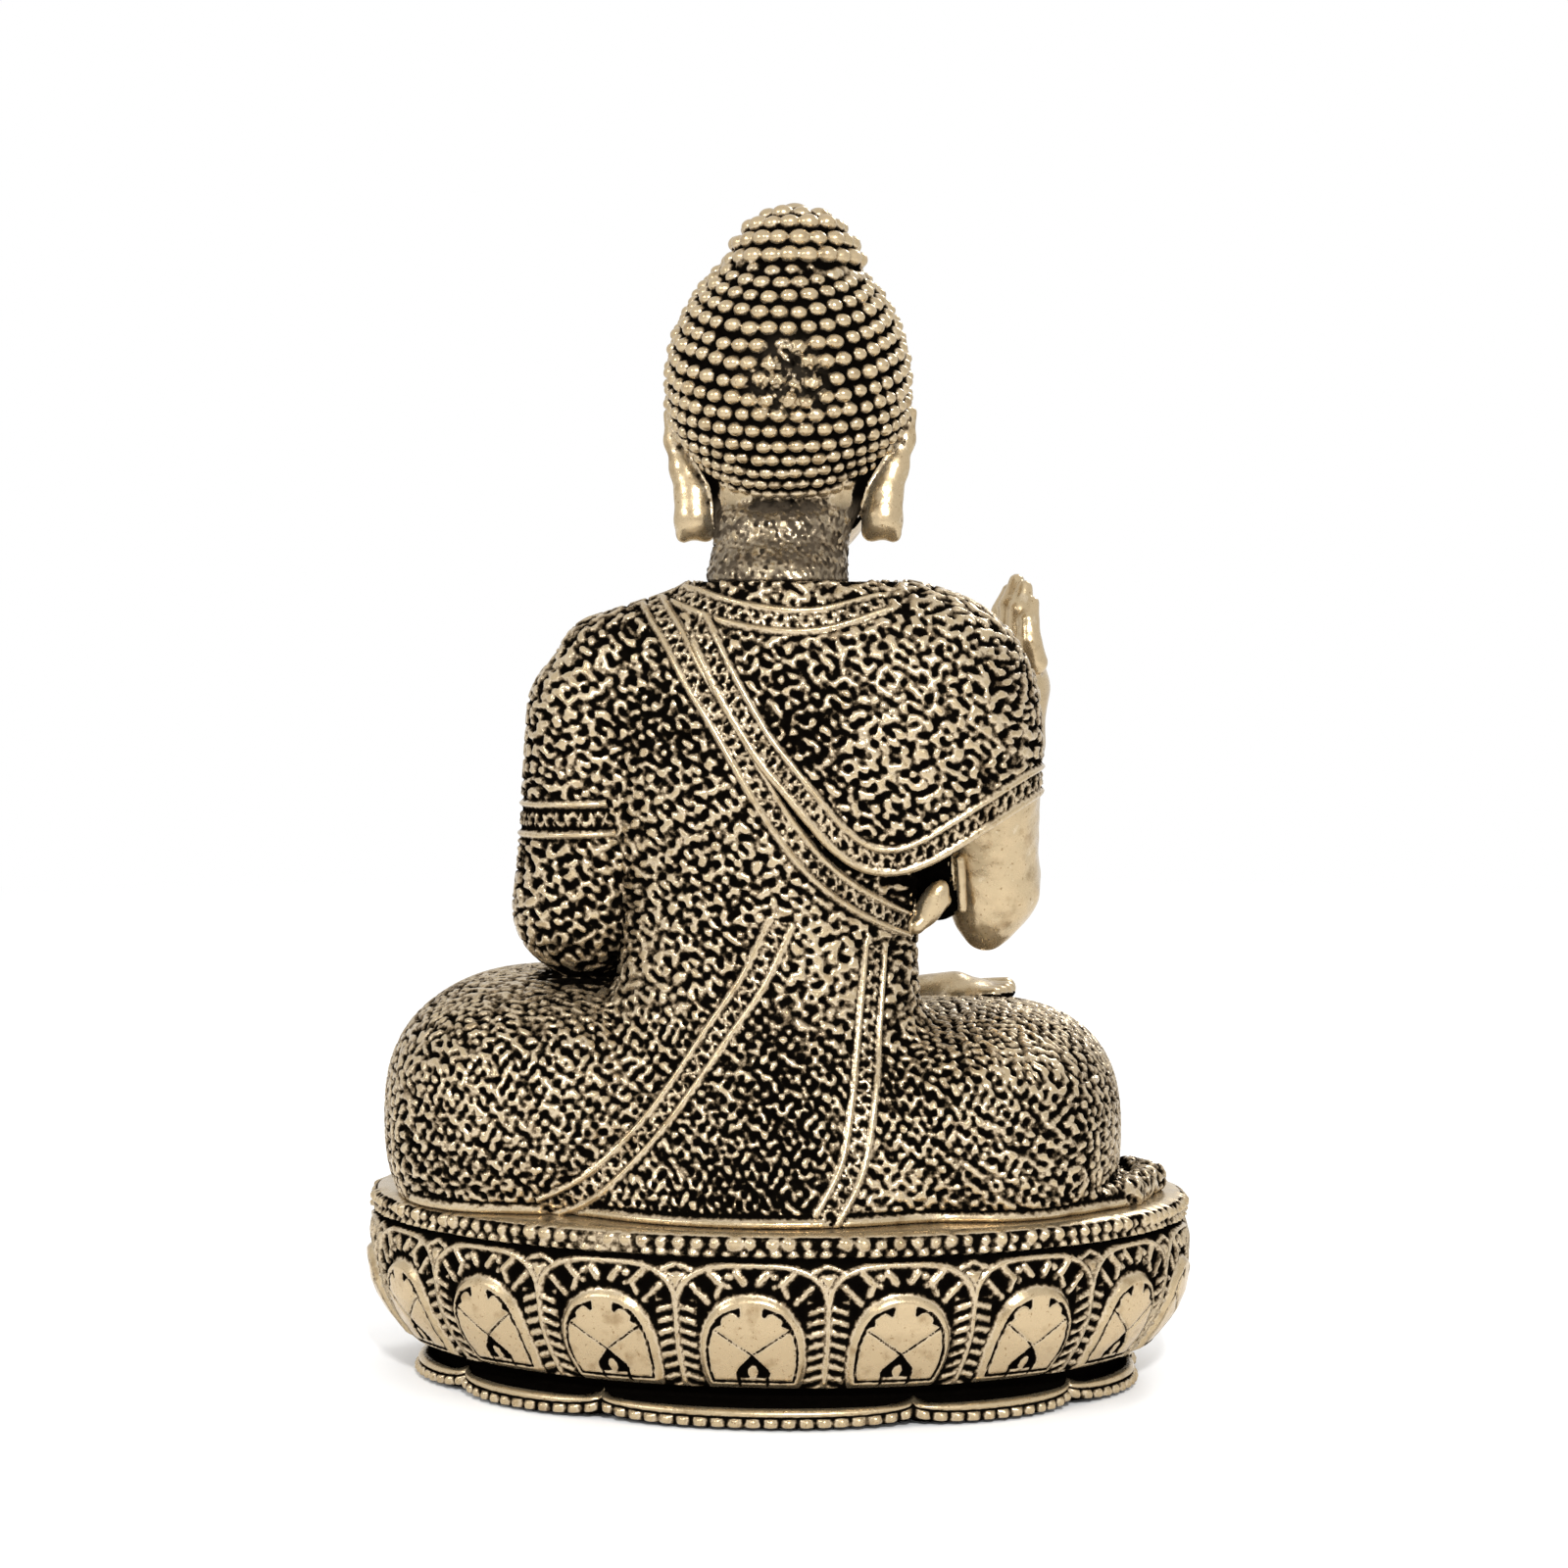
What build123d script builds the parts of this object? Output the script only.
"""Seated blessing figure on an oval lotus pedestal: hollow castings joined by dowels, pins and screws.

Millimetres. +Z up, the figure faces -Y, its left side is +X. The origin is the centre of the face it rests on.
"""

import os
from math import pi

from build123d import *

os.makedirs("parts", exist_ok=True)

# ---------------------------------------------------------------- driving dimensions
seat_z = 24.0           # height of the pedestal's deck
rim_r = 52.0            # half the pedestal's width
depth_ratio = 0.65      # pedestal depth over its width
foot_z = 0.3            # the foot ring stays this far above the table; the felt pad carries the load
petal_count = 18
deck_t = 3.3
wall = 3.2              # casting wall of the body
neck_joint_z = 101.0    # the head seats on the body here
clearance = 0.05        # radial, between a dowel, pin or screw and its hole
part_gap = 0.04         # between two castings that nest in each other

# Felt pad and cover plate, closing the pedestal from below
cover_r = 39.8
ledge_r = 38.5
pad_t = 1.3
cover_t = 1.2
cover_top_z = pad_t + cover_t
deck_under_z = seat_z - deck_t

# Fasteners
body_screw_r, body_screw_reach = 2.0, 7.0
body_screw_head_r, body_screw_head_t = 3.8, 2.4
body_screw_x, body_screw_y = 20.0, 4.0
washer_r, washer_hole_r, washer_t = 4.5, 2.2, 0.8
cover_screw_r, cover_screw_reach = 1.25, 6.0
cover_screw_head_r = 2.4
cover_screw_x, cover_screw_y = 27.0, 11.5
boss_r = 3.2
pin_r, pin_up, pin_down = 1.5, 4.0, 2.3
pin_x, pin_y = 32.0, -6.0
neck_dowel_r, neck_dowel_length = 2.0, 14.0
arm_dowel_r, arm_dowel_length = 1.5, 10.0
hand_dowel_r, hand_dowel_length = 1.0, 6.0

# Limbs: places of the joints, and the limb's radius at each
shoulder_l, shoulder_r = Vector(22.5, 10.0, 88.5), Vector(-22.5, 10.0, 88.5)
elbow_l, elbow_r = Vector(24.8, 7.0, 61.0), Vector(-25.8, 1.0, 62.6)
wrist_l, wrist_r = Vector(8.0, -19.0, 46.5), Vector(-30.0, -14.0, 80.0)
shoulder_radius, elbow_radius, wrist_radius = 8.6, 8.0, 3.4
cape_share = 0.62       # the bare right arm leaves the cape this far down the upper arm
cuff_share = 0.86       # the left hand leaves its sleeve this far down the forearm
thigh_l, thigh_l_radii = (29.0, 0.0, 34.0), (20.4, 26.5, 16.2)
thigh_r, thigh_r_radii = (-25.0, 0.0, 33.0), (18.8, 26.5, 15.2)
knee_l, knee_r = Vector(37.0, -12.0, 32.5), Vector(-32.0, -12.0, 32.0)
ankle_l, ankle_r = Vector(-14.0, -20.0, 34.0), Vector(14.0, -20.0, 34.5)
shin_radius = 8.4
heel_l, toe_l = Vector(-6.0, -15.0, 43.0), Vector(-28.5, -10.0, 46.8)
heel_r, toe_r = Vector(9.0, -15.0, 42.0), Vector(29.0, -10.0, 48.5)
heel_radius, toe_radius = 4.2, 2.4

# Torso: (height, half width, half depth, centre y)
torso_sections = (
    (seat_z, 27.0, 16.0, 13.0),
    (38.0, 21.5, 13.2, 12.5),
    (52.0, 18.4, 11.8, 11.5),
    (66.0, 21.0, 12.2, 10.5),
    (80.0, 24.0, 12.4, 10.0),
    (90.0, 25.5, 11.4, 10.0),
    (97.0, 20.0, 8.8, 9.8),
    (neck_joint_z, 8.8, 7.4, 9.0),
)
hollow_sections = torso_sections[:5]

# Head: hair mass, cranial bump, face and neck
head_x = -1.8           # the head leans a little to the figure's right
hair_centre, hair_radii = (head_x, 3.5, 126.0), (15.2, 15.6, 17.0)
bump_centre, bump_radii = (head_x - 0.5, 5.0, 140.4), (8.4, 8.6, 8.2)
face_centre, face_radii = (head_x, -1.5, 117.0), (11.6, 12.6, 14.0)
nose_centre, nose_radii = (head_x, -12.6, 116.0), (2.0, 3.0, 4.4)
ear_x, ear_y, ear_z = 13.8, 4.0, 114.5
ear_radii = (2.1, 3.2, 9.2)
neck_sections = (
    (neck_joint_z, 8.8, 7.4, 9.0),
    (106.0, 8.4, 7.6, 7.4),
    (112.0, 9.0, 8.2, 5.6),
)


# ---------------------------------------------------------------- shared shapes
def limb(start, end, start_radius, end_radius):
    """A tapered limb whose ends are rounded by balls slightly fuller than the limb."""
    fullness = 0.15
    axis = end - start
    with BuildPart() as made:
        with Locations(Plane(origin=start, z_dir=axis).location):
            Cone(start_radius, end_radius, axis.length, align=(Align.CENTER, Align.CENTER, Align.MIN))
            Sphere(start_radius + fullness)
            with Locations((0, 0, axis.length)):
                Sphere(end_radius + fullness)
    return made.part


def ellipsoid(centre, radii):
    """A ball stretched to three radii."""
    with BuildPart() as made:
        Sphere(1)
        scale(by=radii)
    return made.part.moved(Location(centre))


def column(sections, inset=0.0):
    """A smooth column through elliptical sections, drawn in by an inset."""
    with BuildPart() as made:
        for height, half_width, half_depth, centre_y in sections:
            with BuildSketch(Plane(origin=(0, centre_y, height))):
                Ellipse(half_width - inset, half_depth - inset)
        loft()
    return made.part


def rod(centre, axis, radius, length):
    """A round rod about a centre point."""
    with BuildPart() as made:
        with Locations(Plane(origin=centre, z_dir=axis).location):
            Cylinder(radius, length)
    return made.part


def oval_plate(radius, z, thickness):
    """An oval plate with the pedestal's proportions."""
    with BuildPart() as made:
        with BuildSketch(Plane.XY.offset(z)):
            Ellipse(radius, radius * depth_ratio)
        extrude(amount=thickness)
    return made.part


def end_of(whole, plane):
    """What lies beyond a plane."""
    with BuildPart() as made:
        add(whole)
        split(bisect_by=plane, keep=Keep.TOP)
    return made.part


def save(piece, name):
    """Label a finished piece and write it."""
    piece.part.label = name
    export_step(piece.part, f"parts/{name}.step")


def between(start, end, share):
    """The point that lies a share of the way from start to end."""
    return start + (end - start) * share


# ---------------------------------------------------------------- lotus pedestal
petal_pitch = 2 * pi * rim_r / petal_count
petal_groove = 0.7      # width of the groove between two petals
arch_z = 12.0           # the petal's straight sides turn into its round head here
arch_top = 20.2
rim_under_z = seat_z - 3.1
arch_w = (petal_pitch - petal_groove) / 2
scotia_r = rim_r - 9.8

with BuildPart() as core_round:
    # Core, foot ring, scotia and moulded rim, turned round
    with BuildSketch(Plane.XZ):
        with BuildLine():
            Polyline((0, deck_under_z), (0, seat_z), (rim_r - 1.6, seat_z))
            ThreePointArc((rim_r - 1.6, seat_z), (rim_r, seat_z - 1.6), (rim_r - 1.0, rim_under_z))
            Polyline((rim_r - 1.0, rim_under_z), (rim_r - 2.2, rim_under_z - 0.5), (rim_r - 1.9, 15.0))
            ThreePointArc((rim_r - 1.9, 15.0), (rim_r - 3.9, 9.6), (rim_r - 7.8, 5.0))
            Polyline((rim_r - 7.8, 5.0), (scotia_r, 4.2), (scotia_r, 2.8), (rim_r - 6.2, 2.3))
            ThreePointArc((rim_r - 6.2, 2.3), (rim_r - 5.2, 1.3), (rim_r - 5.8, foot_z))
            Polyline(
                (rim_r - 5.8, foot_z),
                (cover_r + 0.2, foot_z),
                (cover_r + 0.2, cover_top_z),
                (ledge_r, cover_top_z),
                (ledge_r, 5.5),
                (rim_r - 6.4, 14.0),
                (rim_r - 6.4, deck_under_z),
                (0, deck_under_z),
            )
        make_face()
    revolve(axis=Axis.Z)

with BuildPart() as petals_round:
    # A bulging band outside the core, split into petals by cutting the spandrels between their arches
    with BuildSketch(Plane.XZ):
        with BuildLine():
            Spline((rim_r - 5.6, 4.4), (rim_r - 2.0, 8.0), (rim_r + 0.4, 12.0), (rim_r + 1.0, 16.0), (rim_r, arch_top))
            Polyline((rim_r, arch_top), (rim_r - 4.0, arch_top), (rim_r - 5.0, 11.0), (rim_r - 8.6, 5.6))
            Line((rim_r - 8.6, 5.6), (rim_r - 5.6, 4.4))
        make_face()
    revolve(axis=Axis.Z)
    with BuildSketch(Plane.YZ.offset(rim_r - 10.0), mode=Mode.PRIVATE) as spandrel:
        with BuildLine():
            Line((-petal_pitch / 2, arch_top + 1), (petal_pitch / 2, arch_top + 1))
            Line((petal_pitch / 2, arch_top + 1), (petal_pitch / 2, arch_top))
            EllipticalCenterArc((petal_pitch / 2, arch_z), arch_w, arch_top - arch_z, start_angle=90, arc_size=90)
            Polyline(
                (petal_groove / 2, arch_z),
                (petal_groove / 2, 3.0),
                (-petal_groove / 2, 3.0),
                (-petal_groove / 2, arch_z),
            )
            EllipticalCenterArc((-petal_pitch / 2, arch_z), arch_w, arch_top - arch_z, start_angle=0, arc_size=90)
            Line((-petal_pitch / 2, arch_top), (-petal_pitch / 2, arch_top + 1))
        make_face()
    spandrel_cut = extrude(spandrel.sketch, amount=14.0, mode=Mode.PRIVATE)
    for petal in range(petal_count):
        add(spandrel_cut.rotate(Axis.Z, (petal + 0.5) * 360 / petal_count + 90), mode=Mode.SUBTRACT)

with BuildPart() as pedestal_oval:
    add(core_round.part)
    add(petals_round.part)
    scale(by=(1, depth_ratio, 1))

with BuildPart() as lotus_pedestal:
    add(pedestal_oval.part)
    with BuildSketch(Plane.XY.offset(cover_top_z)):
        with GridLocations(2 * cover_screw_x, 2 * cover_screw_y, 2, 2):
            Circle(boss_r)
    extrude(amount=deck_under_z - cover_top_z + deck_t / 2)
    with BuildSketch(Plane.XY.offset(cover_top_z)):
        with GridLocations(2 * cover_screw_x, 2 * cover_screw_y, 2, 2):
            Circle(cover_screw_r + clearance)
    extrude(amount=cover_screw_reach + 1.0, mode=Mode.SUBTRACT)
    with BuildSketch(Plane.XY.offset(seat_z)):
        with Locations((-body_screw_x, body_screw_y), (body_screw_x, body_screw_y)):
            Circle(washer_hole_r)
    extrude(amount=-deck_t, mode=Mode.SUBTRACT)
    with BuildSketch(Plane.XY.offset(seat_z)):
        with Locations((-pin_x, pin_y), (pin_x, pin_y)):
            Circle(pin_r + clearance)
    extrude(amount=-pin_down - clearance, mode=Mode.SUBTRACT)
save(lotus_pedestal, "lotus_pedestal")

# ---------------------------------------------------------------- arms: where each casting ends
cape_end = between(shoulder_r, elbow_r, cape_share)
cape_plane = Plane(origin=cape_end, z_dir=elbow_r - shoulder_r)
cuff_end = between(elbow_l, wrist_l, cuff_share)
cuff_plane = Plane(origin=cuff_end, z_dir=wrist_l - elbow_l)


def bare_forearm(grow):
    """Elbow, forearm and raised hand of the right arm, larger by grow."""
    knuckles = wrist_r + Vector(-0.6, -1.6, 8.5)
    stub = end_of(limb(shoulder_r, elbow_r, shoulder_radius + grow, elbow_radius + grow), cape_plane)
    with BuildPart() as made:
        add(stub)
        add(limb(elbow_r, wrist_r, elbow_radius + grow, wrist_radius + grow))
        add(limb(wrist_r, knuckles, wrist_radius + grow, 3.9 + grow))
        for finger, (side, reach) in enumerate(((-2.8, 8.0), (-0.9, 10.5), (1.1, 11.0), (3.0, 9.5))):
            root = knuckles + Vector(side, 0.3 * finger, 1.0)
            add(limb(root, root + Vector(-0.25 * side, -1.4, reach), 1.45 + grow, 1.0 + grow))
        thumb = wrist_r + Vector(3.4, -3.0, 5.0)
        add(limb(thumb, thumb + Vector(0.8, -3.4, 7.0), 1.7 + grow, 1.1 + grow))
    return made.part


def resting_hand(grow):
    """The left hand, palm up in the lap, larger by grow."""
    palm = wrist_l + Vector(-7.0, -3.0, -1.0)
    stub = end_of(limb(elbow_l, wrist_l, elbow_radius + grow, wrist_radius + grow), cuff_plane)
    with BuildPart() as made:
        add(stub)
        add(limb(wrist_l, palm, wrist_radius + 0.2 + grow, 4.0 + grow))
        for finger, (side, reach) in enumerate(((-3.3, 9.0), (-1.1, 11.0), (1.2, 11.5), (3.4, 10.0))):
            root = palm + Vector(-2.0, side, 0.15 * finger)
            add(limb(root, root + Vector(-reach, 0.2 * side, -0.6), 1.5 + grow, 1.1 + grow))
        thumb = palm + Vector(2.0, -3.0, 2.0)
        add(limb(thumb, thumb + Vector(-7.0, -0.5, 1.8), 1.6 + grow, 1.1 + grow))
    return made.part


# ---------------------------------------------------------------- robed body
with BuildPart() as robed_body:
    add(column(torso_sections))
    add(ellipsoid(thigh_l, thigh_l_radii))
    add(ellipsoid(thigh_r, thigh_r_radii))
    add(limb(knee_l, ankle_l, shin_radius + 1.2, shin_radius - 1.6))
    add(limb(knee_r, ankle_r, shin_radius + 1.2, shin_radius - 1.6))
    add(limb(heel_l, toe_l, heel_radius, toe_radius))
    add(limb(heel_r, toe_r, heel_radius, toe_radius))
    add(limb(shoulder_l, elbow_l, shoulder_radius, elbow_radius))
    add(limb(elbow_l, wrist_l, elbow_radius, wrist_radius))
    add(limb(shoulder_r, elbow_r, shoulder_radius, elbow_radius))
    # Flat underside on the deck, and the hollow of the casting above it
    with BuildSketch(Plane.XY.offset(seat_z)):
        Rectangle(4 * rim_r, 4 * rim_r)
    extrude(amount=-seat_z, mode=Mode.SUBTRACT)
    add(column(hollow_sections, inset=wall), mode=Mode.SUBTRACT)
    # Seats of the two separately cast arms' ends
    add(bare_forearm(part_gap), mode=Mode.SUBTRACT)
    add(resting_hand(part_gap), mode=Mode.SUBTRACT)
    add(rod(cape_end, cape_plane.z_dir, arm_dowel_r + clearance, arm_dowel_length + 0.4), mode=Mode.SUBTRACT)
    add(rod(cuff_end, cuff_plane.z_dir, hand_dowel_r + clearance, hand_dowel_length + 0.4), mode=Mode.SUBTRACT)
    neck_foot = Vector(0, neck_sections[0][3], neck_joint_z)
    add(rod(neck_foot, (0, 0, 1), neck_dowel_r + clearance, neck_dowel_length + 0.4), mode=Mode.SUBTRACT)
    for side in (-1, 1):
        for (x, y), radius, reach in (
            ((body_screw_x, body_screw_y), body_screw_r, body_screw_reach),
            ((pin_x, pin_y), pin_r, pin_up),
        ):
            hole_centre = Vector(side * x, y, seat_z)
            add(rod(hole_centre, (0, 0, 1), radius + clearance, 2 * (reach + 0.2)), mode=Mode.SUBTRACT)
save(robed_body, "robed_body")

# ---------------------------------------------------------------- right forearm and left hand
with BuildPart() as right_forearm:
    add(bare_forearm(0.0))
    add(rod(cape_end, cape_plane.z_dir, arm_dowel_r + clearance, arm_dowel_length + 0.4), mode=Mode.SUBTRACT)
save(right_forearm, "right_forearm")

with BuildPart() as left_hand:
    add(resting_hand(0.0))
    add(rod(cuff_end, cuff_plane.z_dir, hand_dowel_r + clearance, hand_dowel_length + 0.4), mode=Mode.SUBTRACT)
save(left_hand, "left_hand")

# ---------------------------------------------------------------- head
with BuildPart() as head:
    add(column(neck_sections))
    add(ellipsoid(hair_centre, hair_radii))
    add(ellipsoid(bump_centre, bump_radii))
    add(ellipsoid(face_centre, face_radii))
    add(ellipsoid(nose_centre, nose_radii))
    for side in (-1, 1):
        add(ellipsoid((head_x + side * ear_x, ear_y, ear_z), ear_radii))
    with BuildSketch(Plane.XY.offset(neck_joint_z)):
        Rectangle(2 * rim_r, 2 * rim_r)
    extrude(amount=-10, mode=Mode.SUBTRACT)
    add(rod(neck_foot, (0, 0, 1), neck_dowel_r + clearance, neck_dowel_length + 0.4), mode=Mode.SUBTRACT)
save(head, "head")

# ---------------------------------------------------------------- dowels and pins
with BuildPart() as neck_dowel:
    add(rod(neck_foot, (0, 0, 1), neck_dowel_r, neck_dowel_length))
save(neck_dowel, "neck_dowel")

with BuildPart() as forearm_dowel:
    add(rod(cape_end, cape_plane.z_dir, arm_dowel_r, arm_dowel_length))
save(forearm_dowel, "forearm_dowel")

with BuildPart() as left_hand_dowel:
    add(rod(cuff_end, cuff_plane.z_dir, hand_dowel_r, hand_dowel_length))
save(left_hand_dowel, "left_hand_dowel")

with BuildPart() as locating_pins:
    with BuildSketch(Plane.XY.offset(seat_z - pin_down)):
        with Locations((-pin_x, pin_y), (pin_x, pin_y)):
            Circle(pin_r)
    extrude(amount=pin_down + pin_up)
save(locating_pins, "locating_pins")

# ---------------------------------------------------------------- screws between pedestal and body
washer_under_z = deck_under_z - washer_t
body_screw_spots = ((-body_screw_x, body_screw_y), (body_screw_x, body_screw_y))

with BuildPart() as body_screw_washers:
    with BuildSketch(Plane.XY.offset(washer_under_z)):
        with Locations(*body_screw_spots):
            Circle(washer_r)
            Circle(washer_hole_r, mode=Mode.SUBTRACT)
    extrude(amount=washer_t)
save(body_screw_washers, "body_screw_washers")

with BuildPart() as body_screws:
    with BuildSketch(Plane.XY.offset(washer_under_z - body_screw_head_t)):
        with Locations(*body_screw_spots):
            Circle(body_screw_head_r)
    extrude(amount=body_screw_head_t)
    chamfer(body_screws.edges().group_by(Axis.Z)[0], 0.5)
    with BuildSketch(Plane.XY.offset(washer_under_z)):
        with Locations(*body_screw_spots):
            Circle(body_screw_r)
    extrude(amount=seat_z - washer_under_z + body_screw_reach)
    with BuildSketch(Plane.XY.offset(washer_under_z - body_screw_head_t)):
        with Locations(*body_screw_spots):
            RegularPolygon(1.7, 6)
    extrude(amount=1.4, mode=Mode.SUBTRACT)
save(body_screws, "body_screws")

# ---------------------------------------------------------------- cover plate, its screws and the felt pad
with BuildPart() as base_cover:
    add(oval_plate(cover_r, pad_t, cover_t))
    with Locations(Plane(origin=(0, 0, pad_t), z_dir=(0, 0, -1))):
        with GridLocations(2 * cover_screw_x, 2 * cover_screw_y, 2, 2):
            CounterSinkHole(cover_screw_r + 0.2, cover_screw_head_r + 0.15, depth=cover_t)
save(base_cover, "base_cover")

with BuildPart() as cover_screws:
    with BuildSketch(Plane.XY.offset(pad_t + 0.05)):
        with GridLocations(2 * cover_screw_x, 2 * cover_screw_y, 2, 2):
            Circle(cover_screw_r)
    extrude(amount=cover_t + cover_screw_reach)
    with GridLocations(2 * cover_screw_x, 2 * cover_screw_y, 2, 2):
        with Locations((0, 0, pad_t + 0.05)):
            Cone(
                cover_screw_head_r - 0.1,
                cover_screw_r,
                cover_screw_head_r - cover_screw_r - 0.1,
                align=(Align.CENTER, Align.CENTER, Align.MIN),
            )
    with BuildSketch(Plane.XY.offset(pad_t + 0.05)):
        with GridLocations(2 * cover_screw_x, 2 * cover_screw_y, 2, 2):
            RegularPolygon(0.85, 6)
    extrude(amount=0.7, mode=Mode.SUBTRACT)
save(cover_screws, "cover_screws")

with BuildPart() as felt_pad:
    add(oval_plate(cover_r, 0, pad_t))
save(felt_pad, "felt_pad")
